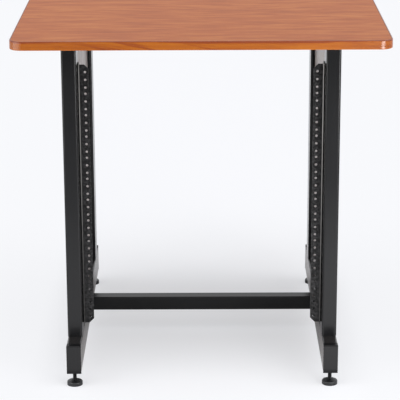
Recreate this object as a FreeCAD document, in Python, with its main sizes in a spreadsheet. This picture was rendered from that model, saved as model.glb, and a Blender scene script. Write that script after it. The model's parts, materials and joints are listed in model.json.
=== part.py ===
import FreeCAD, Part
import math
import os
import Sketcher
from types import SimpleNamespace
from FreeCAD import Rotation, Vector

# Rack cabinet: a wooden top on two steel side frames with a 19-inch rail pair.
# Millimetres. X runs left to right, Y front to back, Z up from the floor.
# The origin is on the floor, at the middle of the footprint.

doc = FreeCAD.newDocument("RackCabinet")

# Driving dimensions
SIZES = {
    # tabletop: how far it stands past the uprights, and its layers
    "top_side_overhang": 98,
    "top_end_overhang": 47,
    "core_thickness": 16.4,
    "laminate_thickness": 0.8,
    "backing_thickness": 0.8,
    "band_thickness": 2,
    "top_corner_radius": 25,
    "top_arris_radius": 1.2,
    # rack bay
    "rack_opening": 450,
    "rack_hole_inset": 7.55,
    "rack_unit": 44.45,
    "rack_hole_step": 15.875,
    "first_hole_drop": 6.35,
    "rack_hole_diameter": 5,
    "rail_flange": 23,
    "rail_side": 26,
    "rail_steel": 2,
    "rail_inner_bend": 1,
    "rail_top_chamfer": 9,
    "rail_foot_chamfer": 9.5,
    "rail_head_margin": 9,
    "rail_foot_margin": 7,
    "rail_lift": 19,
    "rail_headroom": 45.6,
    # tubes of the side frames
    "tube_width": 30,
    "tube_wall": 2,
    "tube_corner_radius": 4,
    "upright_depth": 60,
    "upright_setback": 55,
    "top_beam_height": 20,
    # foot beams and their caps
    "foot_length": 666,
    "foot_height": 60,
    "foot_gap": 30,
    "cap_reach": 16,
    "cap_steel": 2,
    "cap_bend_radius": 3,
    "cap_edge_radius": 1.5,
    # side panels
    "panel_steel": 1.2,
    "rivet_radius": 2,
    "rivet_head_radius": 4,
    "rivet_head_height": 1.3,
    "rivet_bulb_radius": 3,
    "rivet_bulb_length": 4,
    "rivet_edge": 1.4,
    "rivet_margin": 60,
    # cross bar
    "bar_size": 30,
    "bar_rise": 7,
    "bar_corner_radius": 2.5,
    "bar_plate_thickness": 4,
    "bar_plate_rise": 7,
    "bar_plate_corner": 6,
    "bar_bolt_offset": 18,
    "bar_bolt_margin": 13,
    # eight millimetre thread: bar bolts, foot studs and their weld nuts
    "stud_radius": 4,
    "stud_nut_flats": 13,
    "stud_nut_height": 6.5,
    "bar_bolt_length": 16,
    "bar_bolt_head_radius": 7,
    "bar_bolt_head_height": 4.4,
    "bar_bolt_socket_flats": 5,
    # six millimetre thread: rail bolts and their weld nuts
    "rail_bolt_radius": 3,
    "rail_bolt_length": 12,
    "rail_bolt_head_radius": 5.2,
    "rail_bolt_head_height": 3.3,
    "rail_bolt_socket_flats": 4,
    "rail_nut_flats": 10,
    "rail_nut_height": 5,
    "rail_bolt_margin": 35,
    # wood screws that hold the tabletop
    "top_screw_radius": 2.4,
    "top_screw_bite": 13,
    "top_screw_head_radius": 5,
    "top_screw_head_height": 3,
    "top_screw_socket_flats": 3.6,
    "top_screw_margin": 50,
    # levelling feet
    "stud_reach": 15.6,
    "stud_end_chamfer": 1,
    "foot_stud_inset": 19,
    "pad_radius": 16,
    "pad_rim_height": 8,
    "pad_height": 9,
    "pad_round": 2.5,
    "pad_hub_radius": 7,
    "pad_floor": 4,
    # clearances
    "thread_play": 0.1,
    "socket_play": 0.1,
    "bolt_hole_play": 0.3,
    "cut_overrun": 5,
}
RACK_UNITS = 12
HOLES_PER_UNIT = 3
RIVETS_PER_EDGE = 4
BOLTS_PER_RAIL = 4
SCREWS_PER_BEAM = 3
SOCKET_DEPTH_SHARE = 0.6
HEAD_ROUND_SHARE = 0.6
SAME_PLACE = 1e-4


class Size:
    """A length, known as a number and as the formula that gives it from the sheet."""

    def __init__(self, number, formula):
        self.number = number
        self.formula = formula

    def __add__(self, other):
        other = as_size(other)
        return Size(self.number + other.number, f"({self.formula} + {other.formula})")

    def __sub__(self, other):
        other = as_size(other)
        return Size(self.number - other.number, f"({self.formula} - {other.formula})")

    def __mul__(self, other):
        other = as_size(other)
        return Size(self.number * other.number, f"({self.formula} * {other.formula})")

    def __truediv__(self, other):
        other = as_size(other)
        return Size(self.number / other.number, f"({self.formula} / {other.formula})")

    def __neg__(self):
        return self * -1

    __rmul__ = __mul__


def as_size(value):
    return value if isinstance(value, Size) else Size(value, f"{value:.12g}")


sheet = doc.addObject("Spreadsheet::Sheet", "Sizes")
for row, (alias, value) in enumerate(SIZES.items(), start=1):
    sheet.set(f"A{row}", alias)
    sheet.set(f"B{row}", str(value))
    sheet.setAlias(f"B{row}", alias)
doc.recompute()
s = SimpleNamespace(**{alias: Size(value, f"Sizes.{alias}") for alias, value in SIZES.items()})

nodes = []


# Helpers for bound sizes, sketches and features

def bind(thing, name, value):
    """Set a property now and tie it to its formula."""
    value = as_size(value)
    setattr(thing, name, value.number)
    thing.setExpression(name, value.formula)


def place(thing, x, y, z, rotation=None):
    """Put a piece at a point worked out from the sheet."""
    x, y, z = as_size(x), as_size(y), as_size(z)
    thing.Placement = FreeCAD.Placement(Vector(x.number, y.number, z.number), rotation or Rotation())
    thing.setExpression("Placement.Base.x", x.formula)
    thing.setExpression("Placement.Base.y", y.formula)
    thing.setExpression("Placement.Base.z", z.formula)


def point_of(x, y, z):
    return Vector(as_size(x).number, as_size(y).number, as_size(z).number)


def new_body(label):
    body = doc.addObject("PartDesign::Body", label)
    body.Label = label
    return body


def sketch_on(body, role, offset=None):
    """A sketch on one of the body's own origin planes, moved along its normal."""
    sketch = body.newObject("Sketcher::SketchObject", "Outline")
    plane = next(item for item in body.Origin.OriginFeatures if item.Role == role)
    sketch.AttachmentSupport = [(plane, "")]
    sketch.MapMode = "FlatFace"
    if offset is not None:
        offset = as_size(offset)
        sketch.AttachmentOffset = FreeCAD.Placement(Vector(0, 0, offset.number), Rotation())
        sketch.setExpression("AttachmentOffset.Base.z", offset.formula)
    return sketch


def fix_point(sketch, element, point, x, y):
    """Hold one point of a sketch at its place from the origin."""
    for kind, value in (("DistanceX", as_size(x)), ("DistanceY", as_size(y))):
        index = sketch.addConstraint(Sketcher.Constraint(kind, -1, 1, element, point, value.number))
        sketch.setExpression(f"Constraints[{index}]", value.formula)


def draw_polygon(sketch, points):
    """A closed outline of straight lines through the given points."""
    points = [(as_size(x), as_size(y)) for x, y in points]
    first = sketch.GeometryCount
    count = len(points)
    for number, (x, y) in enumerate(points):
        next_x, next_y = points[(number + 1) % count]
        start = Vector(x.number, y.number, 0)
        end = Vector(next_x.number, next_y.number, 0)
        sketch.addGeometry(Part.LineSegment(start, end), False)
    for number in range(count):
        following = first + (number + 1) % count
        sketch.addConstraint(Sketcher.Constraint("Coincident", first + number, 2, following, 1))
    for number, (x, y) in enumerate(points):
        fix_point(sketch, first + number, 1, x, y)


def draw_centred(sketch, width, height):
    """A rectangle about the origin with sharp corners."""
    half_width, half_height = width / 2, height / 2
    draw_polygon(sketch, [(-half_width, -half_height), (half_width, -half_height),
                          (half_width, half_height), (-half_width, half_height)])


def draw_rounded(sketch, width, height, corner):
    """A rectangle about the origin with rounded corners: a line and an arc for each side in turn."""
    half_width, half_height = width / 2, height / 2
    flat_width, flat_height = half_width - corner, half_height - corner
    first = sketch.GeometryCount
    sides = [((-flat_width, -half_height), (flat_width, -half_height), (flat_width, -flat_height)),
             ((half_width, -flat_height), (half_width, flat_height), (flat_width, flat_height)),
             ((flat_width, half_height), (-flat_width, half_height), (-flat_width, flat_height)),
             ((-half_width, flat_height), (-half_width, -flat_height), (-flat_width, -flat_height))]
    for number, (start, end, centre) in enumerate(sides):
        start, end, centre = (Vector(x.number, y.number, 0) for x, y in (start, end, centre))
        sketch.addGeometry(Part.LineSegment(start, end), False)
        turn = math.radians(90 * (number - 1))
        circle = Part.Circle(centre, Vector(0, 0, 1), corner.number)
        sketch.addGeometry(Part.ArcOfCircle(circle, turn, turn + math.radians(90)), False)
    for number, (start, end, centre) in enumerate(sides):
        line = first + number * 2
        following = first + (number * 2 + 2) % 8
        sketch.addConstraint(Sketcher.Constraint("Coincident", line, 2, line + 1, 1))
        sketch.addConstraint(Sketcher.Constraint("Coincident", line + 1, 2, following, 1))
        fix_point(sketch, line, 1, *start)
        fix_point(sketch, line, 2, *end)
        index = sketch.addConstraint(Sketcher.Constraint("Radius", line + 1, corner.number))
        sketch.setExpression(f"Constraints[{index}]", corner.formula)


def draw_circle(sketch, x, y, radius):
    x, y, radius = as_size(x), as_size(y), as_size(radius)
    centre = Vector(x.number, y.number, 0)
    element = sketch.addGeometry(Part.Circle(centre, Vector(0, 0, 1), radius.number), False)
    fix_point(sketch, element, 3, x, y)
    index = sketch.addConstraint(Sketcher.Constraint("Radius", element, radius.number))
    sketch.setExpression(f"Constraints[{index}]", radius.formula)


def draw_hexagon(sketch, flats):
    """A hexagon about the origin, given its size across the flats."""
    step = math.radians(60)
    corner = flats * (0.5 / math.cos(step / 2))
    turns = [step * number for number in range(6)]
    draw_polygon(sketch, [(corner * math.cos(turn), corner * math.sin(turn)) for turn in turns])


def extrude(body, kind, sketch, length=None, symmetric=False, reverse=False):
    """A pad or a pocket; with no length a pocket goes through everything."""
    before = body.Shape.Volume if body.Tip else 0
    feature = body.newObject(f"PartDesign::{kind}", kind)
    feature.Profile = sketch
    feature.SideType = "Symmetric" if symmetric else "One side"
    feature.Reversed = reverse
    if length is None:
        feature.Type = "ThroughAll"
    else:
        bind(feature, "Length", length)
    doc.recompute()
    if kind == "Pocket" and body.Shape.Volume >= before:
        raise ValueError(f"{body.Label}: a pocket removed nothing")
    return feature


def pad(body, sketch, length, symmetric=False, reverse=False):
    return extrude(body, "Pad", sketch, length, symmetric, reverse)


def pocket(body, sketch, length=None, symmetric=False, reverse=False):
    return extrude(body, "Pocket", sketch, length, symmetric, reverse)


def straight_edges(body, direction, *middle):
    """Names of the body's straight edges along a direction; only the one with that middle, if it is given."""
    names = []
    for number, edge in enumerate(body.Tip.Shape.Edges, start=1):
        if edge.Curve.TypeId != "Part::GeomLine":
            continue
        along = edge.lastVertex().Point - edge.firstVertex().Point
        if along.cross(direction).Length > SAME_PLACE:
            continue
        if not middle or edge.CenterOfMass.distanceToPoint(point_of(*middle)) < SAME_PLACE:
            names.append(f"Edge{number}")
    return names


def dress(body, kind, names, size_name, value):
    """A fillet or a chamfer on named edges."""
    base = body.Tip
    feature = body.newObject(f"PartDesign::{kind}", kind)
    feature.Base = (base, names)
    bind(feature, size_name, value)
    doc.recompute()


def fillet(body, names, radius):
    dress(body, "Fillet", names, "Radius", radius)


def chamfer(body, names, size):
    dress(body, "Chamfer", names, "Size", size)


def turned(label, points):
    """A body of revolution about Z; the points are (radius, height)."""
    body = new_body(label)
    sketch = sketch_on(body, "XZ_Plane")
    draw_polygon(sketch, points)
    feature = body.newObject("PartDesign::Revolution", "Revolution")
    feature.Profile = sketch
    feature.ReferenceAxis = (sketch, ["V_Axis"])
    feature.Angle = 360
    doc.recompute()
    return body


def rim_edges(body, height):
    """Names of the circular edges at one height of a turned body."""
    names = []
    for number, edge in enumerate(body.Tip.Shape.Edges, start=1):
        if edge.Curve.TypeId == "Part::GeomCircle":
            if abs(edge.CenterOfMass.z - height.number) < SAME_PLACE:
                names.append(f"Edge{number}")
    return names


def keep(piece):
    """Count a finished piece as a node of the model."""
    nodes.append(piece)
    return piece


def group(label, master, places):
    """Copies of one fastener, kept together as separate solids."""
    copies = []
    for number, (x, y, z, rotation) in enumerate(places):
        copy = doc.addObject("App::Link", f"{label}_{number}")
        copy.LinkedObject = master
        place(copy, x, y, z, rotation)
        copies.append(copy)
    compound = doc.addObject("Part::Compound", label)
    compound.Label = label
    compound.Links = copies
    return keep(compound)


def spread(low, high, count):
    """Evenly spaced places from the lowest to the highest."""
    return [low + (high - low) * (number / (count - 1)) for number in range(count)]


# Turns that lay a fastener's own Z axis along a direction of the model
TOWARDS = {
    "+X": Rotation(Vector(0, 1, 0), 90),
    "-X": Rotation(Vector(0, 1, 0), -90),
    "+Y": Rotation(Vector(1, 0, 0), -90),
    "-Y": Rotation(Vector(1, 0, 0), 90),
    "+Z": Rotation(),
}
ALONG_X = Vector(1, 0, 0)
ALONG_Y = Vector(0, 1, 0)
ALONG_Z = Vector(0, 0, 1)
DIRECTION = {"X": ALONG_X, "Y": ALONG_Y, "Z": ALONG_Z}
PLANE_ACROSS = {"X": "YZ_Plane", "Y": "XZ_Plane", "Z": "XY_Plane"}

# Places across the width
rail_edge = s.rack_opening / 2
inner_face = rail_edge + s.rail_flange
tube_centre = inner_face + s.tube_width / 2
panel_flange = s.panel_steel + (s.rivet_head_radius + s.rivet_edge) * 2
panel_face = tube_centre - panel_flange / 2
flange_line = panel_face + (s.panel_steel + panel_flange) / 2
top_width = (inner_face + s.tube_width + s.top_side_overhang) * 2

# Places along the depth
foot_end = s.foot_length / 2
cap_back = foot_end - s.cap_reach
upright_face = foot_end - s.upright_setback
upright_centre = upright_face - s.upright_depth / 2
upright_back = upright_face - s.upright_depth
rail_front = upright_back + s.rail_side
stud_place = foot_end - s.foot_stud_inset
top_depth = (upright_face + s.top_end_overhang) * 2

# Heights
beam_middle = s.foot_gap + s.foot_height / 2
foot_top = s.foot_gap + s.foot_height
rail_bottom = foot_top + s.rail_lift
rail_length = s.rack_unit * RACK_UNITS + s.rail_head_margin + s.rail_foot_margin
top_underside = rail_bottom + rail_length + s.rail_headroom
top_beam_base = top_underside - s.top_beam_height
top_thickness = s.core_thickness + s.laminate_thickness + s.backing_thickness
bar_height = beam_middle + s.bar_rise
bar_bolt_place = s.bar_size / 2 + s.bar_bolt_offset

# Holes that a bolt passes with room
bolt_hole_radius = s.stud_radius + s.bolt_hole_play
rail_hole_radius = s.rail_bolt_radius + s.bolt_hole_play

# Heights of the rail bolts, the rivets and the depths of the top screws
rail_bolt_heights = spread(rail_bottom + s.rail_bolt_margin,
                           rail_bottom + rail_length - s.rail_bolt_margin, BOLTS_PER_RAIL)
rail_bolt_depth = rail_front - (s.rail_steel + s.rail_side) / 2
rivet_heights = spread(foot_top + s.rivet_margin, top_beam_base - s.rivet_margin, RIVETS_PER_EDGE)
screw_depths = spread(s.top_screw_margin - upright_back, upright_back - s.top_screw_margin, SCREWS_PER_BEAM)
bar_bolt_depths = [-bar_bolt_place, bar_bolt_place]


def tube(label, axis, width, height, wall, corner, length):
    """A square or rectangular tube, centred on its own origin, with rounded corners."""
    body = new_body(label)
    section = sketch_on(body, PLANE_ACROSS[axis])
    draw_centred(section, width, height)
    pad(body, section, length, symmetric=True)
    fillet(body, straight_edges(body, DIRECTION[axis]), corner)
    bore = sketch_on(body, PLANE_ACROSS[axis])
    draw_centred(bore, width - wall * 2, height - wall * 2)
    pocket(body, bore, symmetric=True)
    return body


def rounded_board(label, width, depth, thickness, corner):
    """A flat board with rounded corners whose underside is at its own origin."""
    body = new_body(label)
    outline = sketch_on(body, "XY_Plane")
    draw_rounded(outline, width, depth, corner)
    pad(body, outline, thickness)
    return body


# Tabletop: core board, laminate, backing sheet and the band round their edges
field_width = top_width - s.band_thickness * 2
field_depth = top_depth - s.band_thickness * 2
field_corner = s.top_corner_radius - s.band_thickness
core_base = top_underside + s.backing_thickness

core = rounded_board("tabletop_core", field_width, field_depth, s.core_thickness, field_corner)
pilots = sketch_on(core, "XY_Plane")
for side in (-1, 1):
    for depth in screw_depths:
        draw_circle(pilots, flange_line * side, depth, s.top_screw_radius)
pocket(core, pilots, s.top_screw_bite - s.backing_thickness, reverse=True)
place(core, 0, 0, core_base)
keep(core)

laminate = rounded_board("top_laminate", field_width, field_depth, s.laminate_thickness, field_corner)
place(laminate, 0, 0, core_base + s.core_thickness)
keep(laminate)

backing = rounded_board("backing_sheet", field_width, field_depth, s.backing_thickness, field_corner)
clearing = sketch_on(backing, "XY_Plane")
for side in (-1, 1):
    for depth in screw_depths:
        draw_circle(clearing, flange_line * side, depth, s.top_screw_radius)
pocket(backing, clearing, symmetric=True)
place(backing, 0, 0, top_underside)
keep(backing)

band = rounded_board("edge_band", top_width, top_depth, top_thickness, s.top_corner_radius)
arris_names = [f"Edge{number}" for number, edge in enumerate(band.Tip.Shape.Edges, start=1)
               if edge.BoundBox.ZLength < s.top_arris_radius.number]
fillet(band, arris_names, s.top_arris_radius)
field = sketch_on(band, "XY_Plane")
draw_rounded(field, field_width, field_depth, field_corner)
pocket(band, field, symmetric=True)
place(band, 0, 0, top_underside)
keep(band)


# Turned and hexagonal fasteners, each made once

def socket_screw(label, shank_radius, length, head_radius, head_height, flats):
    """A round-headed screw: its head starts at the origin and its shank runs up +Z."""
    screw = turned(label, [(0, -head_height), (head_radius, -head_height), (head_radius, 0),
                           (shank_radius, 0), (shank_radius, length), (0, length)])
    fillet(screw, rim_edges(screw, -head_height), head_height * HEAD_ROUND_SHARE)
    recess = sketch_on(screw, "XY_Plane", -head_height)
    draw_hexagon(recess, flats)
    pocket(screw, recess, head_height * SOCKET_DEPTH_SHARE, reverse=True)
    return screw


def weld_nut(label, flats, height, bore_radius):
    """A hexagon nut that stands on the XY plane."""
    nut = new_body(label)
    outline = sketch_on(nut, "XY_Plane")
    draw_hexagon(outline, flats)
    draw_circle(outline, 0, 0, bore_radius)
    pad(nut, outline, height)
    return nut


rail_bolt = socket_screw("rail_bolt_master", s.rail_bolt_radius, s.rail_bolt_length,
                         s.rail_bolt_head_radius, s.rail_bolt_head_height, s.rail_bolt_socket_flats)
rail_nut = weld_nut("rail_nut_master", s.rail_nut_flats, s.rail_nut_height, s.rail_bolt_radius)
bar_bolt = socket_screw("bar_bolt_master", s.stud_radius, s.bar_bolt_length,
                        s.bar_bolt_head_radius, s.bar_bolt_head_height, s.bar_bolt_socket_flats)
bar_nut = weld_nut("bar_nut_master", s.stud_nut_flats, s.stud_nut_height, s.stud_radius)
foot_nut = weld_nut("foot_nut_master", s.stud_nut_flats, s.stud_nut_height, s.stud_radius + s.thread_play)
top_screw = socket_screw("top_screw_master", s.top_screw_radius,
                         s.panel_steel + s.top_beam_height + s.top_screw_bite,
                         s.top_screw_head_radius, s.top_screw_head_height, s.top_screw_socket_flats)
rivet_grip = s.panel_steel + s.tube_wall
rivet_tip = rivet_grip + s.rivet_bulb_length
rivet = turned("rivet_master", [(0, -s.rivet_head_height), (s.rivet_radius, -s.rivet_head_height),
                                (s.rivet_head_radius, 0), (s.rivet_radius, 0), (s.rivet_radius, rivet_grip),
                                (s.rivet_bulb_radius, rivet_grip), (s.rivet_radius, rivet_tip), (0, rivet_tip)])


# Side frames: every tube piece is drawn about its own middle

beam_half = s.foot_height / 2
cap_underside = beam_half - s.cap_steel
upright_middle = (foot_top + top_underside) / 2
panel_middle = (foot_top + top_beam_base) / 2


def foot_beam(name, side):
    """A tube along Y, notched above for the caps, with stud holes below and bar bolt holes inside."""
    body = tube(f"{name}_foot_beam", "Y", s.tube_width, s.foot_height, s.tube_wall,
                s.tube_corner_radius, s.foot_length - s.cap_steel * 2)
    notches = sketch_on(body, "YZ_Plane")
    for end in (-1, 1):
        draw_polygon(notches, [(cap_back * end, beam_half + s.cut_overrun),
                               (cap_back * end, cap_underside),
                               ((foot_end + s.cut_overrun) * end, cap_underside),
                               ((foot_end + s.cut_overrun) * end, beam_half + s.cut_overrun)])
    pocket(body, notches, symmetric=True)
    studs = sketch_on(body, "XY_Plane", -beam_half)
    for end in (-1, 1):
        draw_circle(studs, 0, stud_place * end, bolt_hole_radius)
    pocket(body, studs, s.tube_wall + s.cut_overrun, reverse=True)
    bolts = sketch_on(body, "YZ_Plane", s.tube_width / 2 * -side)
    for depth in bar_bolt_depths:
        draw_circle(bolts, depth, s.bar_rise, bolt_hole_radius)
    pocket(body, bolts, s.tube_wall + s.cut_overrun, reverse=side > 0)
    place(body, tube_centre * side, 0, beam_middle)
    keep(body)


def foot_cap(name, side, end):
    """A folded plate that closes an end of the beam and laps on to its top."""
    body = new_body(f"{name}_foot_cap")
    fold = sketch_on(body, "YZ_Plane")
    draw_polygon(fold, [(foot_end * end, -beam_half),
                        (foot_end * end, beam_half),
                        (cap_back * end, beam_half),
                        (cap_back * end, cap_underside),
                        ((foot_end - s.cap_steel) * end, cap_underside),
                        ((foot_end - s.cap_steel) * end, -beam_half)])
    pad(body, fold, s.tube_width, symmetric=True)
    fillet(body, straight_edges(body, ALONG_X, 0, foot_end * end, beam_half), s.cap_bend_radius)
    edges = []
    for half in (-s.tube_width / 2, s.tube_width / 2):
        edges += straight_edges(body, ALONG_Z, half, foot_end * end, -s.cap_bend_radius / 2)
    fillet(body, edges, s.cap_edge_radius)
    place(body, tube_centre * side, 0, beam_middle)
    keep(body)


def upright(name, side, end):
    """A tube along Z, holed for the panel's rivets and, at the front, for the rail's bolts."""
    body = tube(f"{name}_upright", "Z", s.tube_width, s.upright_depth, s.tube_wall,
                s.tube_corner_radius, top_underside - foot_top)
    rivets = sketch_on(body, "XZ_Plane", s.upright_depth / 2 * end)
    for height in rivet_heights:
        draw_circle(rivets, (flange_line - tube_centre) * side, height - upright_middle, s.rivet_radius)
    pocket(body, rivets, s.tube_wall + s.cut_overrun, reverse=end < 0)
    if end < 0:
        bolts = sketch_on(body, "YZ_Plane", s.tube_width / 2 * -side)
        for height in rail_bolt_heights:
            draw_circle(bolts, upright_centre - rail_bolt_depth, height - upright_middle, rail_hole_radius)
        pocket(body, bolts, s.tube_wall + s.cut_overrun, reverse=side > 0)
    place(body, tube_centre * side, upright_centre * end, upright_middle)
    keep(body)


def top_beam(name, side):
    """A flat tube under the tabletop, between the two uprights."""
    body = tube(f"{name}_top_beam", "Y", s.tube_width, s.top_beam_height, s.tube_wall,
                s.tube_corner_radius, upright_back * 2)
    screws = sketch_on(body, "XY_Plane")
    for depth in screw_depths:
        draw_circle(screws, (flange_line - tube_centre) * side, depth, s.top_screw_radius)
    pocket(body, screws, symmetric=True)
    place(body, tube_centre * side, 0, top_beam_base + s.top_beam_height / 2)
    keep(body)


def side_panel(name, side):
    """A sheet-steel tray whose flat face looks into the bay and whose flanges point outwards."""
    body = new_body(f"{name}_side_panel")
    width = upright_back * 2
    height = top_beam_base - foot_top
    outline = sketch_on(body, "YZ_Plane")
    draw_centred(outline, width, height)
    pad(body, outline, panel_flange, reverse=side < 0)
    inside = sketch_on(body, "YZ_Plane", panel_flange * side)
    draw_centred(inside, width - s.panel_steel * 2, height - s.panel_steel * 2)
    pocket(body, inside, panel_flange - s.panel_steel, reverse=side < 0)
    rivets = sketch_on(body, "XZ_Plane")
    for level in rivet_heights:
        draw_circle(rivets, (flange_line - panel_face) * side, level - panel_middle, s.rivet_radius)
    pocket(body, rivets, symmetric=True)
    screws = sketch_on(body, "XY_Plane", height / 2)
    for depth in screw_depths:
        draw_circle(screws, (flange_line - panel_face) * side, depth, s.top_screw_radius)
    pocket(body, screws, s.panel_steel + s.cut_overrun)
    place(body, panel_face * side, 0, panel_middle)
    keep(body)


def rack_rail(name, side):
    """A folded angle: the front flange carries the rack holes, the side flange is bolted on."""
    body = new_body(f"{name}_rack_rail")
    section = sketch_on(body, "XY_Plane")
    draw_polygon(section, [(rail_edge * side, -rail_front),
                           (inner_face * side, -rail_front),
                           (inner_face * side, s.rail_side - rail_front),
                           ((inner_face - s.rail_steel) * side, s.rail_side - rail_front),
                           ((inner_face - s.rail_steel) * side, s.rail_steel - rail_front),
                           (rail_edge * side, s.rail_steel - rail_front)])
    pad(body, section, rail_length)
    middle = rail_length / 2
    flange_middle = s.rail_steel / 2 - rail_front
    fillet(body, straight_edges(body, ALONG_Z, inner_face * side, -rail_front, middle),
           s.rail_inner_bend + s.rail_steel)
    fillet(body, straight_edges(body, ALONG_Z, (inner_face - s.rail_steel) * side, s.rail_steel - rail_front, middle),
           s.rail_inner_bend)
    chamfer(body, straight_edges(body, ALONG_Y, rail_edge * side, flange_middle, rail_length), s.rail_top_chamfer)
    chamfer(body, straight_edges(body, ALONG_Y, rail_edge * side, flange_middle, 0), s.rail_foot_chamfer)
    unit = sketch_on(body, "XZ_Plane")
    for step in range(HOLES_PER_UNIT):
        draw_circle(unit, (rail_edge + s.rack_hole_inset) * side,
                    s.rail_foot_margin + s.rack_unit - s.first_hole_drop - s.rack_hole_step * step,
                    s.rack_hole_diameter / 2)
    holes = pocket(body, unit, symmetric=True)
    pattern = body.newObject("PartDesign::LinearPattern", "Units")
    pattern.Originals = [holes]
    pattern.Direction = (unit, ["V_Axis"])
    pattern.Mode = "Spacing"
    pattern.Occurrences = RACK_UNITS
    bind(pattern, "Offset", s.rack_unit)
    body.Tip = pattern
    doc.recompute()
    bolts = sketch_on(body, "YZ_Plane")
    for height in rail_bolt_heights:
        draw_circle(bolts, -rail_bolt_depth, height - rail_bottom, rail_hole_radius)
    pocket(body, bolts, symmetric=True)
    place(body, 0, 0, rail_bottom)
    keep(body)


for name, side in (("left", -1), ("right", 1)):
    outwards = TOWARDS["+X" if side > 0 else "-X"]
    foot_beam(name, side)
    top_beam(name, side)
    side_panel(name, side)
    rack_rail(name, side)
    for place_name, end in (("front", -1), ("rear", 1)):
        foot_cap(f"{name}_{place_name}", side, end)
        upright(f"{name}_{place_name}", side, end)
    group(f"{name}_panel_rivets", rivet,
          [(flange_line * side, (upright_back - s.panel_steel) * end, height,
            TOWARDS["+Y" if end > 0 else "-Y"]) for end in (-1, 1) for height in rivet_heights])
    group(f"{name}_rail_bolts", rail_bolt,
          [((inner_face - s.rail_steel) * side, -rail_bolt_depth, height, outwards)
           for height in rail_bolt_heights])
    group(f"{name}_rail_nuts", rail_nut,
          [((inner_face + s.tube_wall) * side, -rail_bolt_depth, height, outwards)
           for height in rail_bolt_heights])
    group(f"{name}_top_screws", top_screw,
          [(flange_line * side, depth, top_beam_base - s.panel_steel, TOWARDS["+Z"])
           for depth in screw_depths])


# Cross bar between the foot beams, with a plate, two bolts and two nuts at each end
cross_bar = tube("cross_bar", "X", s.bar_size, s.bar_size, s.tube_wall, s.bar_corner_radius,
                 (inner_face - s.bar_plate_thickness) * 2)
place(cross_bar, 0, 0, bar_height)
keep(cross_bar)

for name, side in (("left", -1), ("right", 1)):
    plate = new_body(f"{name}_bar_plate")
    outline = sketch_on(plate, "YZ_Plane")
    draw_centred(outline, (bar_bolt_place + s.bar_bolt_margin) * 2, s.bar_size + s.bar_plate_rise * 2)
    pad(plate, outline, s.bar_plate_thickness, symmetric=True)
    fillet(plate, straight_edges(plate, ALONG_X), s.bar_plate_corner)
    bolts = sketch_on(plate, "YZ_Plane")
    for depth in bar_bolt_depths:
        draw_circle(bolts, depth, 0, bolt_hole_radius)
    pocket(plate, bolts, symmetric=True)
    place(plate, (inner_face - s.bar_plate_thickness / 2) * side, 0, bar_height)
    keep(plate)
    outwards = TOWARDS["+X" if side > 0 else "-X"]
    group(f"{name}_bar_bolts", bar_bolt,
          [((inner_face - s.bar_plate_thickness) * side, depth, bar_height, outwards)
           for depth in bar_bolt_depths])
    group(f"{name}_bar_nuts", bar_nut,
          [((inner_face + s.tube_wall) * side, depth, bar_height, outwards)
           for depth in bar_bolt_depths])


# Levelling feet: each stud turns in its weld nut and in the socket of its pad
group("foot_nuts", foot_nut,
      [(tube_centre * side, stud_place * end, s.foot_gap + s.tube_wall, TOWARDS["+Z"])
       for side in (-1, 1) for end in (-1, 1)])

socket = s.stud_radius + s.socket_play
stud_base = s.pad_floor + s.socket_play
stud_length = s.foot_gap + s.tube_wall + s.stud_nut_height + s.stud_reach - stud_base
stud_shoulder = stud_length - s.stud_end_chamfer
for name, side in (("left", -1), ("right", 1)):
    for place_name, end in (("front", -1), ("rear", 1)):
        pad_body = turned(f"{name}_{place_name}_pad", [(0, 0), (s.pad_radius, 0), (s.pad_radius, s.pad_rim_height),
                                                       (s.pad_hub_radius, s.pad_height), (socket, s.pad_height),
                                                       (socket, s.pad_floor), (0, s.pad_floor)])
        fillet(pad_body, rim_edges(pad_body, s.pad_rim_height), s.pad_round)
        place(pad_body, tube_centre * side, stud_place * end, 0)
        keep(pad_body)
        stud = turned(f"{name}_{place_name}_stud", [(0, 0), (s.stud_radius, 0), (s.stud_radius, stud_shoulder),
                                                    (s.stud_radius - s.stud_end_chamfer, stud_length),
                                                    (0, stud_length)])
        place(stud, tube_centre * side, stud_place * end, stud_base)
        keep(stud)


# Every object must have been built, and every piece must be a sound solid
doc.recompute()
broken = [item.Name for item in doc.Objects if {"Invalid", "Error"} & set(item.State)]
if broken:
    raise ValueError(f"these objects failed: {broken}")
for piece in nodes:
    if piece.Shape.isNull() or not piece.Shape.isValid() or not piece.Shape.Solids:
        raise ValueError(f"{piece.Label} is not a sound solid")

os.makedirs("parts", exist_ok=True)
for piece in nodes:
    piece.Shape.exportStep(f"parts/{piece.Label}.step")
    box = piece.Shape.BoundBox
    print(f"{piece.Label}: {len(piece.Shape.Solids)} solids, {piece.Shape.Volume:.0f} mm3, "
          f"X {box.XMin:.1f} to {box.XMax:.1f}, Y {box.YMin:.1f} to {box.YMax:.1f}, "
          f"Z {box.ZMin:.1f} to {box.ZMax:.1f}")
print(f"{len(nodes)} pieces written")
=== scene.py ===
# %% [markdown]
# # A rack cabinet: wooden top, black steel side frames
# The steel, the board and the feet arrive as solids at their real size. This script gives every
# surface its finish, adds the pieces that a drawing of solids leaves out (screw threads and weld
# beads), and sets up the plain pale studio in which the cabinet stands.

# %% Load the fixed frame
import json
import math

import bpy
from mathutils import Matrix, Vector


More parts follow.
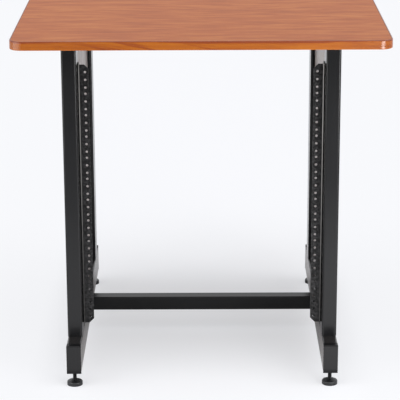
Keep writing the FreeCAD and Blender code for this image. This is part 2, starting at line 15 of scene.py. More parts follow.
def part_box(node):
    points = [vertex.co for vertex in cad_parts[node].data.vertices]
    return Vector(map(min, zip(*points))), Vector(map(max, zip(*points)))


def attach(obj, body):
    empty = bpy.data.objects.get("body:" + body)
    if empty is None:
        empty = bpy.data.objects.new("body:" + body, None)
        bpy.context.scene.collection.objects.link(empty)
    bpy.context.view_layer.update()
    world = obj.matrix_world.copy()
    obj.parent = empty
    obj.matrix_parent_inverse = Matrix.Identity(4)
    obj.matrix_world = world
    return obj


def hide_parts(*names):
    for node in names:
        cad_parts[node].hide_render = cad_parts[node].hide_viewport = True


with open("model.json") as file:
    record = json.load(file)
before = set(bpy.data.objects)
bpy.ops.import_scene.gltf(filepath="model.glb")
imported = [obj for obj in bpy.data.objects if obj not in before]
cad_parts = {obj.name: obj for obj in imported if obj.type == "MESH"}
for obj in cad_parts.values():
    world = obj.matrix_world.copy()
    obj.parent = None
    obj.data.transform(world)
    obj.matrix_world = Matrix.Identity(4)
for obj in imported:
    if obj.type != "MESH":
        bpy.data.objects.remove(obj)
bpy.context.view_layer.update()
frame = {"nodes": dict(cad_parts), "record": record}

# %% [markdown]
# ## Helpers for node trees
# A finish is a sum of patterns, and it reads best when it is written as one. `Wire` stands for the
# output of a node: adding, multiplying or comparing it puts down the Math node that does so. `Tree`
# has one method that adds any other node, sets it up and plugs in its sockets. Shader trees, the
# world and Geometry Nodes all use the same two classes.

# %% Wires
class Wire:
    """The output of a node, ready to be used in a formula."""

    def __init__(self, tree, socket):
        self.tree = tree
        self.socket = socket

    def math(self, operation, *values):
        return self.tree.node("ShaderNodeMath", {"operation": operation}, dict(enumerate(values)))

    def of(self, output):
        """Another output of the same node."""
        return Wire(self.tree, self.socket.node.outputs[output])

    def __add__(self, other):
        return self.math("ADD", self, other)

    def __radd__(self, other):
        return self.math("ADD", other, self)

    def __sub__(self, other):
        return self.math("SUBTRACT", self, other)

    def __rsub__(self, other):
        return self.math("SUBTRACT", other, self)

    def __mul__(self, other):
        return self.math("MULTIPLY", self, other)

    def __rmul__(self, other):
        return self.math("MULTIPLY", other, self)

    def __truediv__(self, other):
        return self.math("DIVIDE", self, other)

    def __lt__(self, other):
        return self.math("LESS_THAN", self, other)

    def __gt__(self, other):
        return self.math("GREATER_THAN", self, other)

    def __abs__(self):
        return self.math("ABSOLUTE", self)

    def least(self, other):
        return self.math("MINIMUM", self, other)

    def most(self, other):
        return self.math("MAXIMUM", self, other)

    def sign(self):
        return self.math("SIGN", self)

    def root(self):
        return self.math("SQRT", self)

    def fraction(self):
        return self.math("FRACT", self)

    def cosine(self):
        return self.math("COSINE", self)

    def sine(self):
        return self.math("SINE", self)


print("wires ready:", sum(callable(item) for item in vars(Wire).values()), "methods")

# %% Trees
class Tree:
    """A node tree of any kind, with one method that adds a node."""

    def __init__(self, tree):
        self.tree = tree

    def node(self, kind, settings=None, sockets=None, output=0):
        made = self.tree.nodes.new(kind)
        for name, value in (settings or {}).items():
            if name == "stops":
                fill_ramp(made.color_ramp, value)
            else:
                setattr(made, name, value)
        for name, value in (sockets or {}).items():
            if isinstance(value, Wire):
                self.tree.links.new(value.socket, made.inputs[name])
            else:
                made.inputs[name].default_value = value
        return Wire(self, made.outputs[output])

    def point(self, x, y, z):
        """A vector from three values."""
        return self.node("ShaderNodeCombineXYZ", sockets={0: x, 1: y, 2: z})

    def mix(self, factor, first, second):
        """A colour between two others."""
        return self.node("ShaderNodeMix", {"data_type": "RGBA"}, {0: factor, 6: first, 7: second}, output=2)

    def smooth(self, value, low, high, first=0.0, second=1.0):
        """A value that eases from first to second as it goes from low to high."""
        return self.node("ShaderNodeMapRange", {"interpolation_type": "SMOOTHSTEP"},
                         {0: value, 1: low, 2: high, 3: first, 4: second})


def fill_ramp(ramp, stops):
    """Set a colour ramp's stops; a new ramp has two already."""
    for place, color in stops[2:]:
        ramp.elements.new(place)
    for element, (place, color) in zip(ramp.elements, stops):
        element.position = place
        element.color = color


print("trees ready")

# %% [markdown]
# ## Colours
# Paint charts and photographs give colours as screen values from 0 to 255. Light is summed in
# linear values, so each tone is turned into those once, here.

# %% Tones
def tone(red, green, blue):
    """A linear colour from three screen values."""
    shares = [value / 255 for value in (red, green, blue)]
    return tuple(share / 12.92 if share <= 0.04045 else ((share + 0.055) / 1.055) ** 2.4
                 for share in shares) + (1.0,)


print("mid wood tone:", [round(value, 3) for value in tone(196, 108, 48)])

# %% [markdown]
# ## A finish
# Each finish is a Principled shader. What is the same all over, such as the specular level and the
# sheen, is set straight on its sockets. Only colour, roughness and the bump vary over the surface.

# %% Finish class
class Finish(Tree):
    """One material with its shader, its object coordinates and its bump."""

    def __init__(self, name, **plain):
        self.material = bpy.data.materials.new(name)
        self.material.use_nodes = True
        super().__init__(self.material.node_tree)
        self.shader = self.tree.nodes["Principled BSDF"]
        for socket, value in plain.items():
            self.shader.inputs[socket.replace("_", " ").title().replace("Ior", "IOR")].default_value = value
        self.place = self.node("ShaderNodeTexCoord", output="Object")
        parts = self.node("ShaderNodeSeparateXYZ", sockets={0: self.place})
        self.x, self.y, self.z = (parts.of(axis) for axis in "XYZ")

    def noise(self, place, scale, detail=2.0, roughness=0.5):
        return self.node("ShaderNodeTexNoise", sockets={
            "Vector": place, "Scale": scale, "Detail": detail, "Roughness": roughness})

    def feed(self, socket, value):
        self.tree.links.new(value.socket, self.shader.inputs[socket])

    def bump(self, height, depth):
        """Raise the surface by a height from 0 to 1 times a real depth in metres."""
        self.feed("Normal", self.node("ShaderNodeBump", sockets={"Distance": depth, "Height": height}))


finishes = {}
print("finish class ready")

# %% [markdown]
# ## Satin black powder coat
# The side frames are sprayed with powder and baked. The film is nearly black, even in colour, with
# a faint orange-peel texture about a millimetre across. At a glancing angle it mirrors the pale
# studio strongly, which is why the inside of a black panel can look light grey. The side panels, and
# a little the foot beams, have a hazier film than the uprights, so they are lighter at such angles.
# The texture could be dents in the mesh, but at a hundredth of a millimetre a bump is enough.

# %% Powder coat
PEEL_SCALE = 850.0
PEEL_DEPTH = 0.000012
DRIFT_SCALE = 6.0
POWDER_DARK = tone(19, 19, 20)
POWDER_LIGHT = tone(27, 27, 28)
POWDER_MIRROR = 0.18
DULLER = 0.04
GLOSSIER = 0.03
HAZE_SPREAD = 0.3
HAZE_TINT = (1.0, 0.9, 0.86, 1.0)


def powder_coat(name, roughness, haze):
    coat = Finish(name, specular_ior_level=POWDER_MIRROR,
                  sheen_weight=haze, sheen_roughness=HAZE_SPREAD, sheen_tint=HAZE_TINT)
    drift = coat.noise(coat.place, DRIFT_SCALE, 3.0, 0.55)
    peel = coat.noise(coat.place, PEEL_SCALE, 3.0, 0.6)
    coat.feed("Base Color", coat.mix(drift, POWDER_DARK, POWDER_LIGHT))
    coat.feed("Roughness", coat.smooth(drift, 0.3, 0.7, roughness - GLOSSIER, roughness + DULLER))
    coat.bump(peel, PEEL_DEPTH)
    return coat.material


finishes["powder"] = powder_coat("satin_powder_coat", roughness=0.2, haze=0.0)
finishes["panel"] = powder_coat("panel_powder_coat", roughness=0.24, haze=0.8)
finishes["foot"] = powder_coat("foot_powder_coat", roughness=0.2, haze=0.12)
print("powder coat:", finishes["powder"].name)

# %% [markdown]
# ## Wrinkle finish of the rack rails
# The rails carry a coarser, mottled black texture, which hides the scratches that rack screws
# leave. Larger blots vary its shine, and fine grains roughen it. Beside the outer bend a narrow
# pale line is a painted highlight that stands in for the light the bend catches, brightest on the
# right rail and towards the top. It could be a strip of its own, but worked out from the rail's box
# it lies on the bend whatever size the rail has.

# %% Rail texture
BLOT_SCALE = 260.0
GRAIN_SCALE = 1500.0
GRAIN_DEPTH = 0.00006
# Where the painted highlight beside the bend lies, its tone, and how much of it shows on the left rail and at
# the bottom.
LINE_START = 0.0021
LINE_END = 0.0036
LINE_FADE = 0.0005
PAINTED_HIGHLIGHT_TONE = tone(178, 176, 173)
LEFT_HIGHLIGHT_SHARE = 0.6
LOW_HIGHLIGHT_SHARE = 0.15
MOTTLE_DARK = tone(2, 2, 2)
MOTTLE_LIGHT = tone(42, 41, 42)
RAIL_MIRROR = 0.2


def rail_texture():
    low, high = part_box("right_rack_rail")
    coat = Finish("mottled_rail_coat", specular_ior_level=RAIL_MIRROR)
    blots = coat.noise(coat.place, BLOT_SCALE, 4.0, 0.65)
    grains = coat.noise(coat.place, GRAIN_SCALE, 2.0, 0.6)
    mottle = coat.mix(coat.smooth(blots, 0.42, 0.6), MOTTLE_DARK, MOTTLE_LIGHT)
    # The pale line below is a painted highlight of the bend, stronger on the right rail and towards the top.
    from_side = high.x - abs(coat.x)
    line = coat.smooth(from_side, LINE_START - LINE_FADE, LINE_START)
    line = line * coat.smooth(from_side, LINE_END, LINE_END + LINE_FADE, 1.0, 0.0)
    front = coat.smooth(coat.y, low.y + LINE_START, low.y + LINE_END, 1.0, 0.0)
    highlight_side = LEFT_HIGHLIGHT_SHARE + (coat.x > 0.0) * (1 - LEFT_HIGHLIGHT_SHARE)
    painted_highlight = line * front * highlight_side * coat.smooth(coat.z, low.z, high.z, LOW_HIGHLIGHT_SHARE, 1.0)
    coat.feed("Base Color", coat.mix(painted_highlight, mottle, PAINTED_HIGHLIGHT_TONE))
    coat.feed("Roughness", coat.smooth(blots, 0.35, 0.65, 0.55, 0.38))
    coat.bump((grains * 0.6 + blots * 0.4) * (1.0 - painted_highlight), GRAIN_DEPTH)
    return coat.material


finishes["rail"] = rail_texture()
print("rail texture:", finishes["rail"].name)

# %% [markdown]
# ## Wood grain
# Both the laminate on top and the edge band show a reddish-brown wood. Its grain is stretched a
# long way in one direction, so every pattern here is a noise whose coordinates are squeezed along
# the grain. Wide streaks give the figure, narrow ones the fibres, and short dark lines the pores.
# A picture of wood would repeat and need unwrapping. Noise in the piece's own coordinates doesn't.

# %% Grain recipe
# Changes per metre along the grain and across it.
SWAY = (2.5, 6.0)
FIBRES = (14.0, 420.0)
PORES = (55.0, 1500.0)
BLOTCHES = (5.0, 16.0)
STREAKS_ACROSS = 60.0
SWAY_WIDTH = 0.03
WOOD_PORE = tone(96, 42, 18)
RELIEF_DEPTH = 0.00002


def wood_grain(wood, along, across, beside, reach, contrast, tones, pore_strength):
    """Colour and relief of a wood surface from one coordinate along the grain and two across it."""
    def drawn_out(side, changes, detail, roughness=0.5):
        """A noise that is stretched along the grain."""
        lengthwise, crosswise = changes
        place = wood.point(along * lengthwise, side * crosswise, beside * crosswise)
        return wood.noise(place, 1.0, detail, roughness)

    bent = across + drawn_out(across, SWAY, 2.0) * SWAY_WIDTH
    streaks = drawn_out(bent, (reach, STREAKS_ACROSS), 4.0, 0.6)
    fibres = drawn_out(bent, FIBRES, 3.0, 0.6)
    pores = drawn_out(bent, PORES, 1.0)
    blotches = drawn_out(bent, BLOTCHES, 2.0)
    figure = wood.smooth(streaks, 0.5 - contrast, 0.5 + contrast) * 0.55 + fibres * 0.2 + blotches * 0.25
    ramp = wood.node("ShaderNodeValToRGB", {"stops": list(zip((0.15, 0.5, 0.85), tones))}, {0: figure})
    pore_mask = wood.smooth(pores, 0.6, 0.72) * pore_strength
    return wood.mix(pore_mask, ramp, WOOD_PORE), fibres * 0.5 + (1.0 - pore_mask) * 0.5


print("grain recipe ready")

# %% [markdown]
# ## Laminate
# The flat field of the top. Its grain runs from left to right. A hair-thin dark glue line shows
# where it meets the edge band. A real gap would be thinner than a hair, so the shader finds the
# line as the distance to a rectangle with rounded corners, worked out from the laminate's own box.

# %% Laminate finish
FIELD_CORNER = 0.023
GLUE_LINE = 0.0005
GLUE_DARKNESS = 0.8
FIELD_TONES = (tone(140, 66, 32), tone(178, 98, 48), tone(204, 130, 68))


def rounded_distance(wood, half_width, half_depth, corner):
    """A point's distance from the rounded rectangle's edge, negative inside."""
    over_x = abs(wood.x) - (half_width - corner)
    over_y = abs(wood.y) - (half_depth - corner)
    past_x = over_x.most(0.0)
    past_y = over_y.most(0.0)
    return (past_x * past_x + past_y * past_y).root() + over_x.most(over_y).least(0.0) - corner


def laminate_finish():
    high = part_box("top_laminate")[1]
    wood = Finish("wood_grain_laminate", specular_ior_level=0.1)
    color, relief = wood_grain(wood, wood.x, wood.y, wood.z, reach=11.0, contrast=0.48,
                               tones=FIELD_TONES, pore_strength=0.25)
    edge = rounded_distance(wood, high.x, high.y, FIELD_CORNER)
    glue = wood.smooth(edge, -GLUE_LINE * 2, -GLUE_LINE) * GLUE_DARKNESS
    wood.feed("Base Color", wood.mix(glue, color, WOOD_PORE))
    wood.feed("Roughness", wood.smooth(relief, 0.3, 0.8, 0.5, 0.42))
    wood.bump(relief, RELIEF_DEPTH)
    return wood.material


finishes["laminate"] = laminate_finish()

# %% [markdown]
# ## Edge band
# The band is one strip of veneer bent round the board, so its grain follows the rim. The
# coordinate along it is x on the long sides and carries on round the corner as y. A darker band
# runs just under the top arris, swelling and thinning as it goes and widest right of the
# middle, and slanting dark flames cross the middle of each long side. Front and back take their
# noise from different depths of the pattern, so that they don't repeat each other.

# %% Edge band finish
BAND_TONES = (tone(126, 57, 6), tone(149, 77, 8), tone(165, 94, 14))
BAND_DARK = tone(118, 46, 12)
BAND_REACH = 7.0
SEAM_DROP = 0.0014
SEAM_SWELL = 0.0030
SEAM_SOFT_ABOVE = 0.0008
SEAM_SOFT_BELOW = 0.0009
SEAM_DARKNESS = 0.85
WIDE_PLACE = 0.15
WIDE_REACH = 0.17
WIDE_SWELL = 0.2
FLAMES = (34.0, 40.0)
FLAME_SLANT = 5.0
FLAME_PLACE = -0.06
FLAME_REACH = 0.13
FLAME_DARKNESS = 0.7
SIDE_SHIFT = 0.4
SIDE_START = 0.07


def band_finish():
    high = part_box("edge_band")[1]
    wood = Finish("wood_grain_edge_band", specular_ior_level=0.45)
    along = wood.x + wood.x.sign() * (high.y - abs(wood.y))
    beside = wood.y.sign() * SIDE_SHIFT + SIDE_START
    color, relief = wood_grain(wood, along, wood.z * 2.0, beside, reach=BAND_REACH, contrast=0.34,
                               tones=BAND_TONES, pore_strength=0.35)
    depth = high.z - wood.z
    swell = wood.noise(wood.point(along * BAND_REACH, beside, 0.0), 1.0)
    swell = swell + wood.smooth(abs(along - WIDE_PLACE), 0.0, WIDE_REACH, WIDE_SWELL, 0.0)
    seam_edge = wood.smooth(swell, 0.36, 0.7, 0.0, SEAM_SWELL) + SEAM_DROP
    seam = wood.smooth(depth - seam_edge, -SEAM_SOFT_ABOVE, SEAM_SOFT_BELOW, SEAM_DARKNESS, 0.0)
    slanted = along + wood.z * FLAME_SLANT
    flame_place = wood.point(slanted * FLAMES[0], wood.z * FLAMES[1], beside)
    flames = wood.noise(flame_place, 1.0, 3.0, 0.55)
    near_middle = wood.smooth(abs(along - FLAME_PLACE), FLAME_REACH, FLAME_REACH * 1.5, 1.0, 0.25)
    flame_mask = wood.smooth(flames, 0.52, 0.66, 0.0, FLAME_DARKNESS) * near_middle
    wood.feed("Base Color", wood.mix(seam.most(flame_mask), color, BAND_DARK))
    wood.feed("Roughness", wood.smooth(relief, 0.3, 0.8, 0.32, 0.26))
    wood.bump(relief, RELIEF_DEPTH)
    return wood.material


finishes["band"] = band_finish()

# %% [markdown]
# ## Board core and backing sheet
# The core is pressed wood chips: a cell pattern gives the chips, and noise their tone. Under it a
# matt brown backing paper keeps the board flat. The core is wrapped on all sides and the paper only
# shows from below, so both stay simple.

# %% Board and backing
CHIP_SCALE = 380.0
CHIP_DEPTH = 0.0002
CHIP_TONES = (tone(166, 134, 92), tone(212, 184, 140))
CHIP_GAP = tone(128, 94, 58)
PAPER_DEPTH = 0.00003
PAPER_TONES = (tone(116, 84, 62), tone(134, 100, 76))
PAPER_FIBRE = tone(98, 70, 50)


def particle_board():
    board = Finish("particle_board", specular_ior_level=0.2)
    chips = board.node("ShaderNodeTexVoronoi", {"distance": "MANHATTAN"},
                       {"Vector": board.place, "Scale": CHIP_SCALE, "Randomness": 1.0})
    tint = board.noise(board.place, 140.0, 3.0)
    gaps = board.smooth(chips, 0.2, 0.6, 0.0, 0.5)
    board.feed("Base Color", board.mix(gaps, board.mix(tint, *CHIP_TONES), CHIP_GAP))
    board.feed("Roughness", board.smooth(tint, 0.3, 0.7, 0.85, 0.7))
    board.bump(chips, CHIP_DEPTH)
    return board.material


def backing_paper():
    paper = Finish("backing_paper", specular_ior_level=0.3)
    fibres = paper.noise(paper.point(paper.x * 60.0, paper.y * 420.0, paper.z), 1.0, 3.0)
    clouds = paper.noise(paper.place, 14.0, 3.0)
    hairs = paper.smooth(fibres, 0.45, 0.7, 0.0, 0.35)
    paper.feed("Base Color", paper.mix(hairs, paper.mix(clouds, *PAPER_TONES), PAPER_FIBRE))
    paper.feed("Roughness", paper.smooth(fibres, 0.3, 0.7, 0.74, 0.62))
    paper.bump(fibres, PAPER_DEPTH)
    return paper.material


finishes["board"] = particle_board()
finishes["backing"] = backing_paper()
print("board and backing ready")

# %% [markdown]
# ## Fasteners, threads and pads
# Zinc plating is a bright metal with soft brushed scratches. Black oxide and the black studs are
# metals too, only darker, so one recipe makes all three. The pads are moulded plastic with the
# fine texture of a spark-eroded mould.

# %% Metals and plastic
SCRATCHES_ACROSS = 900.0
SCRATCHES_ALONG = 160.0
SCRATCH_DEPTH = 0.000008
SPARK_SCALE = 2600.0
SPARK_DEPTH = 0.00002


def plated_steel(name, dark, light, roughness):
    steel = Finish(name, metallic=1.0)
    place = steel.point(steel.x * SCRATCHES_ACROSS, steel.y * SCRATCHES_ACROSS, steel.z * SCRATCHES_ALONG)
    brushing = steel.noise(place, 1.0, 3.0, 0.6)
    cloud = steel.noise(steel.place, 180.0, 2.0)
    steel.feed("Base Color", steel.mix(cloud, dark, light))
    steel.feed("Roughness", steel.smooth(brushing, 0.3, 0.7, roughness - 0.06, roughness + 0.08))
    steel.bump(brushing, SCRATCH_DEPTH)
    return steel.material


def moulded_plastic():
    plastic = Finish("moulded_black_plastic", specular_ior_level=0.45)
    sparks = plastic.noise(plastic.place, SPARK_SCALE)
    cloud = plastic.noise(plastic.place, 120.0, 3.0)
    plastic.feed("Base Color", plastic.mix(cloud, tone(18, 19, 20), tone(32, 33, 35)))
    plastic.feed("Roughness", plastic.smooth(cloud, 0.3, 0.7, 0.3, 0.42))
    plastic.bump(sparks, SPARK_DEPTH)
    return plastic.material


finishes["zinc"] = plated_steel("zinc_plated_steel", tone(176, 176, 170), tone(206, 206, 202), 0.3)
finishes["oxide"] = plated_steel("black_oxide_steel", tone(40, 40, 42), tone(62, 62, 64), 0.38)
finishes["stud"] = plated_steel("black_zinc_thread", tone(34, 34, 35), tone(58, 58, 58), 0.34)
finishes["pad"] = moulded_plastic()
print(len(finishes), "finishes")

# %% [markdown]
# ## Dressing the solids
# The record says which finish slot each solid belongs to, so one table of slots dresses them all.
# A second, shorter table then gives the panels and the foot beams their hazier film.

# %% Assign the finishes
SLOT_FINISH = {"wood_top": "laminate", "wood_edge": "band", "board": "board", "backing": "backing",
               "powder_black": "powder", "rail_black": "rail", "zinc": "zinc", "black_bolts": "oxide",
               "stud_steel": "stud", "pad_plastic": "pad"}


def dress(piece, material):
    if not piece.material_slots:
        piece.data.materials.append(material)
    for place in piece.material_slots:
        place.material = material


HAZY_PIECES = {"left_side_panel": "panel", "right_side_panel": "panel",
               "left_foot_beam": "foot", "right_foot_beam": "foot"}

for part in frame["record"]["subparts"]:
    dress(frame["nodes"][part["node"]], finishes[SLOT_FINISH[part["material_slot"]]])
for name, finish in HAZY_PIECES.items():
    dress(frame["nodes"][name], finishes[finish])

# %% [markdown]
# ## Geometry Nodes helper
# What repeats or follows a path is made by node groups, because a rule is shorter than a list of
# points. A group has named inputs. It is put on an object as a modifier, its inputs are set by
# identifier before the object is first evaluated, and the result is kept as a plain mesh.

# %% Node groups
SOCKETS = {float: "NodeSocketFloat", int: "NodeSocketInt", Vector: "NodeSocketVector",
           bpy.types.Material: "NodeSocketMaterial"}


class Group(Tree):
    """A geometry node group whose inputs are named with their values."""

    def __init__(self, name, **values):
        self.values = values
        self.group = bpy.data.node_groups.new(name, "GeometryNodeTree")
        super().__init__(self.group)
        sockets = self.group.interface
        sockets.new_socket("Geometry", in_out="OUTPUT", socket_type="NodeSocketGeometry")
        sockets.new_socket("Geometry", in_out="INPUT", socket_type="NodeSocketGeometry")
        self.names = {key: sockets.new_socket(key.replace("_", " ").title(), in_out="INPUT",
                                              socket_type=SOCKETS[type(value)]).identifier
                      for key, value in values.items()}
        self.source = self.group.nodes.new("NodeGroupInput")

    def input(self, key):
        """A named input; the geometry comes before them all."""
        place = 1 + list(self.names).index(key)
        return Wire(self, self.source.outputs[place])

    def close(self, geometry):
        """Realize, paint and send out the result."""
        real = self.node("GeometryNodeRealizeInstances", sockets={"Geometry": geometry})
        painted = self.node("GeometryNodeSetMaterial",
                            sockets={"Geometry": real, "Material": self.input("finish")})
        out = self.group.nodes.new("NodeGroupOutput")
        self.group.links.new(painted.socket, out.inputs[0])

    def bake(self, carrier, name):
        """Run the group on a carrier object and keep the result as a plain mesh object."""
        modifier = carrier.modifiers.new(name, "NODES")
        modifier.node_group = self.group
        for key, value in self.values.items():
            modifier[self.names[key]] = value
        evaluated = carrier.evaluated_get(bpy.context.evaluated_depsgraph_get())
        mesh = bpy.data.meshes.new_from_object(evaluated)
        carrier.modifiers.remove(modifier)
        bpy.data.objects.remove(carrier)
        mesh.name = name
        piece = bpy.data.objects.new(name, mesh)
        bpy.context.scene.collection.objects.link(piece)
        dress(piece, self.values["finish"])
        return piece


def carrier_of(data):
    carrier = bpy.data.objects.new("carrier", data)
    bpy.context.scene.collection.objects.link(carrier)
    return carrier


print("group helper ready")

# %% [markdown]
# ## Threaded studs
# A levelling stud is an eight millimetre screw. Its thread is one surface: a grid is rolled into a
# tube, and each point's distance from the axis follows a wave that climbs one pitch per turn. The
# first and the last row shrink to a point on the axis, which closes the ends. A swept triangle
# wound round a plain rod would do from afar, but it leaves hidden faces inside.

# %% Thread group
THREAD_PITCH = 0.00125
THREAD_DEPTH = 0.00072
THREAD_CHAMFER = 0.001
ROWS_PER_PITCH = 8
POINTS_ROUND = 24
CREST_SHARE = 0.14
WELD_DISTANCE = 1e-6


def thread_group(low, high):
    length = high.z - low.z
    rows = int(round(length / THREAD_PITCH)) * ROWS_PER_PITCH + 3
    group = Group("screw_thread", radius=(high.x - low.x) / 2, depth=THREAD_DEPTH, pitch=THREAD_PITCH,
                  length=length, chamfer=THREAD_CHAMFER, points_round=POINTS_ROUND + 1, rows=rows,
                  base=Vector(((low.x + high.x) / 2, (low.y + high.y) / 2, low.z)), finish=finishes["stud"])
    grid = group.node("GeometryNodeMeshGrid", sockets={
        "Size X": 1.0, "Size Y": 1.0,
        "Vertices X": group.input("points_round"), "Vertices Y": group.input("rows")})
    spot = group.node("ShaderNodeSeparateXYZ", sockets={0: group.node("GeometryNodeInputPosition")})
    turn = spot.of("X") + 0.5
    row = (spot.of("Y") + 0.5) * (group.input("rows") - 1)
    share = group.node("ShaderNodeClamp", sockets={0: (row - 1) / (group.input("rows") - 3)})
    height = share * group.input("length")
    phase = (height / group.input("pitch") - turn).fraction()
    wave = abs(phase - 0.5) * 2.0
    flank = group.node("ShaderNodeMapRange",
                       sockets={0: wave, 1: CREST_SHARE, 2: 1 - CREST_SHARE, 3: 0.0, 4: 1.0})
    radius = group.input("radius") - group.input("depth") * flank
    from_end = height.least(group.input("length") - height)
    radius = radius.least(group.input("radius") - group.input("chamfer") + from_end)
    pole = (row < 0.5).most(row > group.input("rows") - 1.5)
    radius = radius * (1.0 - pole)
    angle = turn * math.tau
    place = group.point(radius * angle.cosine(), radius * angle.sine(), height)
    moved = group.node("GeometryNodeSetPosition",
                       sockets={"Geometry": grid, "Position": place, "Offset": group.input("base")})
    welded = group.node("GeometryNodeMergeByDistance", sockets={"Geometry": moved, "Distance": WELD_DISTANCE})
    smooth = group.node("GeometryNodeSetShadeSmooth", sockets={"Geometry": welded, "Shade Smooth": True})
    group.close(smooth)
    return group


print("thread:", THREAD_PITCH * 1000, "mm for each turn,", POINTS_ROUND, "points round")

# %% Threaded studs
FEET = [f"{side}_{end}" for side in ("left", "right") for end in ("front", "rear")]

for foot in FEET:
    group = thread_group(*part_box(f"{foot}_stud"))
    stud = group.bake(carrier_of(bpy.data.meshes.new("carrier")), f"{foot}_threaded_stud")
    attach(stud, f"{foot}_stud")
    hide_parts(f"{foot}_stud")
print("stud:", len(stud.data.vertices), "points")

# %% [markdown]
# ## Weld beads
# Where the uprights stand on the foot beams, and where the cross bar meets its plates, a bead of
# weld metal shows under the paint, rippled by each drop. A bead is a thin tube along the joint
# whose thickness swells at every ripple, half sunk into the corner. Sculpting would do for one
# bead, but a swept ring gives every bead the same hand.

# %% Weld paths
BEAD_RADIUS = 0.0021
RIPPLE = 0.0016
UPRIGHT_ROUND = 0.004
BAR_ROUND = 0.0025
LOOP_STEPS = 6


def joint_lines():
    """A line across the inner corner between each upright and its foot beam."""
    lines = []
    for foot in FEET:
        low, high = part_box(f"{foot}_upright")
        depth = min(low.y, high.y, key=abs)
        lines.append([Vector((low.x + UPRIGHT_ROUND, depth, low.z)),
                      Vector((high.x - UPRIGHT_ROUND, depth, low.z))])
    return lines


def bar_loops():
    """A loop round the cross bar at each end plate."""
    low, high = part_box("cross_bar")
    middle = (low + high) / 2
    reach_y, reach_z = (high.y - low.y) / 2, (high.z - low.z) / 2
    loops = []
    for end in (low.x, high.x):
        loop = []
        for corner in range(4):
            sign_y = (1, -1, -1, 1)[corner]
            sign_z = (1, 1, -1, -1)[corner]
            centre = Vector((end, middle.y + sign_y * (reach_y - BAR_ROUND),
                             middle.z + sign_z * (reach_z - BAR_ROUND)))
            for step in range(LOOP_STEPS + 1):
                turn = math.radians(90 * (corner + step / LOOP_STEPS))
                loop.append(centre + BAR_ROUND * Vector((0, math.cos(turn), math.sin(turn))))
        loops.append(loop)
    return loops


def path_curve(lines, loops):
    curve = bpy.data.curves.new("weld_paths", "CURVE")
    curve.dimensions = "3D"
    for points, closed in [(line, False) for line in lines] + [(loop, True) for loop in loops]:
        spline = curve.splines.new("POLY")
        spline.points.add(len(points) - 1)
        for target, point in zip(spline.points, points):
            target.co = (*point, 1.0)
        spline.use_cyclic_u = closed
    return curve


print(len(joint_lines()), "straight beads,", len(bar_loops()), "loops")

# %% Weld beads
STEPS_PER_RIPPLE = 5
RING_POINTS = 10
THINNEST = 0.82
DROP_SWELL = 0.2
WANDER_SWELL = 0.16
WANDER_SCALE = 260.0


def bead_group():
    group = Group("weld_bead", radius=BEAD_RADIUS, ripple=RIPPLE, step=RIPPLE / STEPS_PER_RIPPLE,
                  finish=finishes["powder"])
    path = group.node("GeometryNodeResampleCurve", {"mode": "LENGTH"},
                      {"Curve": Wire(group, group.source.outputs[0]), "Length": group.input("step")})
    along = group.node("GeometryNodeSplineParameter", output="Length")
    drop = (along / group.input("ripple")).fraction()
    wander = group.node("ShaderNodeTexNoise", {"noise_dimensions": "1D"},
                        {"W": along * WANDER_SCALE, "Scale": 1.0})
    scale = THINNEST + DROP_SWELL * drop * drop + WANDER_SWELL * wander
    sized = group.node("GeometryNodeSetCurveRadius", sockets={"Curve": path, "Radius": scale})
    ring = group.node("GeometryNodeCurvePrimitiveCircle",
                      sockets={"Resolution": RING_POINTS, "Radius": group.input("radius")})
    tube = group.node("GeometryNodeCurveToMesh",
                      sockets={"Curve": sized, "Profile Curve": ring, "Fill Caps": True})
    smooth = group.node("GeometryNodeSetShadeSmooth", sockets={"Geometry": tube, "Shade Smooth": True})
    group.close(smooth)
    return group


welds = bead_group().bake(carrier_of(path_curve(joint_lines(), bar_loops())), "weld_beads")
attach(welds, "frame")
print("welds:", len(welds.data.vertices), "points")

# %% [markdown]
# ## Studio
# The floor is a wide pale sheet that runs out of sight in every direction, so it is backdrop too.
# Its own colour makes it white, and a veil of that white lies over the shadows that the camera
# sees, thicker outside the side frames than between them. Its reflection darkens far in front, like
# a room's where the studio paper ends, so that the fronts of the black tubes stay black. The world
# fills the shadows evenly, and shows as the same white to the camera and in reflections. A paper
# bent up behind the cabinet is what a studio uses, but it would only serve one side.

# %% Floor
FLOOR_SIZE = 60.0
FLOOR_TONE = tone(248, 249, 252)
SHADOW_VEIL = 0.56
OUTER_VEIL = 0.85
VEIL_FROM = 0.27
VEIL_TO = 0.37
PAPER_END = -1.7
PAPER_FADE = 1.2
PAST_PAPER = tone(120, 120, 122)


def make_floor():
    half = FLOOR_SIZE / 2
    mesh = bpy.data.meshes.new("floor")
    corners = [(-half, -half, 0), (half, -half, 0), (half, half, 0), (-half, half, 0)]
    mesh.from_pydata(corners, [], [(0, 1, 2, 3)])
    floor = bpy.data.objects.new("floor", mesh)
    bpy.context.scene.collection.objects.link(floor)
    sheet = Finish("pale_floor", specular_ior_level=0.0, roughness=0.9)
    glow = sheet.node("ShaderNodeEmission", sockets={"Color": FLOOR_TONE, "Strength": 1.0})
    seen = sheet.node("ShaderNodeLightPath", output="Is Camera Ray")
    far_in_front = sheet.smooth(sheet.y, PAPER_END - PAPER_FADE, PAPER_END, 1.0, 0.0)
    sheet.feed("Base Color", sheet.mix(seen.of("Is Glossy Ray") * far_in_front, FLOOR_TONE, PAST_PAPER))
    veil = sheet.smooth(abs(sheet.x), VEIL_FROM, VEIL_TO, SHADOW_VEIL, OUTER_VEIL)
    pale = sheet.node("ShaderNodeMixShader", sockets={
        0: seen * veil, 1: Wire(sheet, sheet.shader.outputs[0]), 2: glow})
    sheet.tree.links.new(pale.socket, sheet.tree.nodes["Material Output"].inputs["Surface"])
    dress(floor, sheet.material)


make_floor()
print("floor", FLOOR_SIZE, "m wide")

# %% World
WORLD_FILL = (0.5, 0.5, 0.51, 1.0)


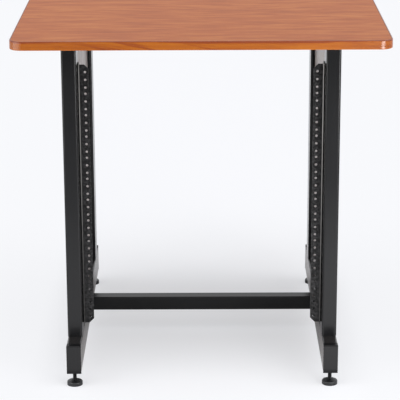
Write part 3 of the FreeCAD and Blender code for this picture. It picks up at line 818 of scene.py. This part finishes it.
def make_world():
    world = bpy.data.worlds.new("studio")
    bpy.context.scene.world = world
    world.use_nodes = True
    sky = Tree(world.node_tree)
    path = sky.node("ShaderNodeLightPath", output="Is Camera Ray")
    seen = path.most(path.of("Is Glossy Ray")).most(path.of("Is Transmission Ray"))
    light = sky.mix(seen, WORLD_FILL, FLOOR_TONE)
    world.node_tree.links.new(light.socket, world.node_tree.nodes["Background"].inputs["Color"])


make_world()
print("world fill:", WORLD_FILL[0])

# %% [markdown]
# ## Lamps
# Three wide banks of lamps, overhead and on either side, light the floor outside the cabinet and
# leave a soft shadow between its panels. A small box at the right and a long, low one at the left
# put highlights on the rounded corners of the top. Three sheets that lie on the floor in front, as
# reflector boards would, lift the black steel towards the floor, the right side more than the left.
# A bank is a sun with a wide angle, because its light is the same wherever the cabinet is seen from.

# %% Lamps
def bank(name, towards, strength, width):
    """A wide bank of lamps far away in one direction."""
    lamp = bpy.data.lights.new(name, "SUN")
    lamp.energy = strength
    lamp.angle = math.radians(width)
    lamp_object = bpy.data.objects.new(name, lamp)
    lamp_object.rotation_euler = Vector(towards).to_track_quat("Z", "Y").to_euler()
    bpy.context.scene.collection.objects.link(lamp_object)


def softbox(name, place, aim, width, height, power):
    """A flat lamp that the camera doesn't see."""
    lamp = bpy.data.lights.new(name, "AREA")
    lamp.shape = "RECTANGLE"
    lamp.size = width
    lamp.size_y = height
    lamp.energy = power
    lamp_object = bpy.data.objects.new(name, lamp)
    lamp_object.location = place
    lamp_object.rotation_euler = (Vector(place) - Vector(aim)).to_track_quat("Z", "Y").to_euler()
    lamp_object.visible_camera = False
    bpy.context.scene.collection.objects.link(lamp_object)


# Name, direction, strength and width in degrees.
bank("overhead", (0.0, -0.35, 1.0), 0.8, 45.0)
bank("right_bank", (1.0, -0.35, 0.8), 0.75, 35.0)
bank("left_bank", (-1.0, -0.35, 0.8), 0.6, 35.0)
# Name, place, aim, width, height and power in watts.
softbox("right_softbox", (0.97, -1.475, 0.34), (0.37, -0.32, 0.55), 0.5, 0.4, 12.6)
softbox("left_softbox", (-1.65, -1.28, 0.27), (-0.37, -0.32, 0.45), 2.0, 0.5, 12.0)
softbox("left_reflector", (-0.35, -0.75, 0.03), (-0.35, -0.75, 1.0), 0.9, 0.8, 1.9)
softbox("right_reflector", (0.55, -0.75, 0.03), (0.55, -0.75, 1.0), 0.9, 0.8, 3.4)
softbox("far_reflector", (0.7, -2.6, 0.03), (0.7, -2.6, 1.0), 0.9, 1.6, 2.7)

# %% [markdown]
# ## Camera
# The photograph was taken from table distance with a long lens, looking down about seventeen
# degrees. The camera's place came from matching the rack holes, whose spacing is a standard.

# %% Camera
IMAGE_WIDTH = 400
FOCAL_PIXELS = 1800.0
SENSOR_WIDTH = 36.0
CAMERA_PLACE = Vector((0.00055, -3.7668, 1.4369))
# In degrees.
CAMERA_TILT = 16.774
CAMERA_TURN = -0.063
CAMERA_ROLL = -0.226


def make_camera():
    tilt, turn, roll = (math.radians(value) for value in (CAMERA_TILT, CAMERA_TURN, CAMERA_ROLL))
    ahead = Vector((math.sin(turn) * math.cos(tilt), math.cos(turn) * math.cos(tilt), -math.sin(tilt)))
    level = Vector((math.cos(turn), -math.sin(turn), 0.0))
    upright = level.cross(ahead)
    right = level * math.cos(roll) + upright * math.sin(roll)
    top = upright * math.cos(roll) - level * math.sin(roll)
    lens = bpy.data.cameras.new("camera")
    lens.sensor_fit = "HORIZONTAL"
    lens.sensor_width = SENSOR_WIDTH
    lens.lens = SENSOR_WIDTH * FOCAL_PIXELS / IMAGE_WIDTH
    camera = bpy.data.objects.new("camera", lens)
    turned = Matrix((right, top, -ahead)).transposed().to_4x4()
    camera.matrix_world = Matrix.Translation(CAMERA_PLACE) @ turned
    bpy.context.scene.collection.objects.link(camera)
    bpy.context.scene.camera = camera
    return camera


camera = make_camera()
bpy.context.scene.view_settings.view_transform = "Standard"
print("lens:", round(camera.data.lens, 1), "mm")

# %% [markdown]
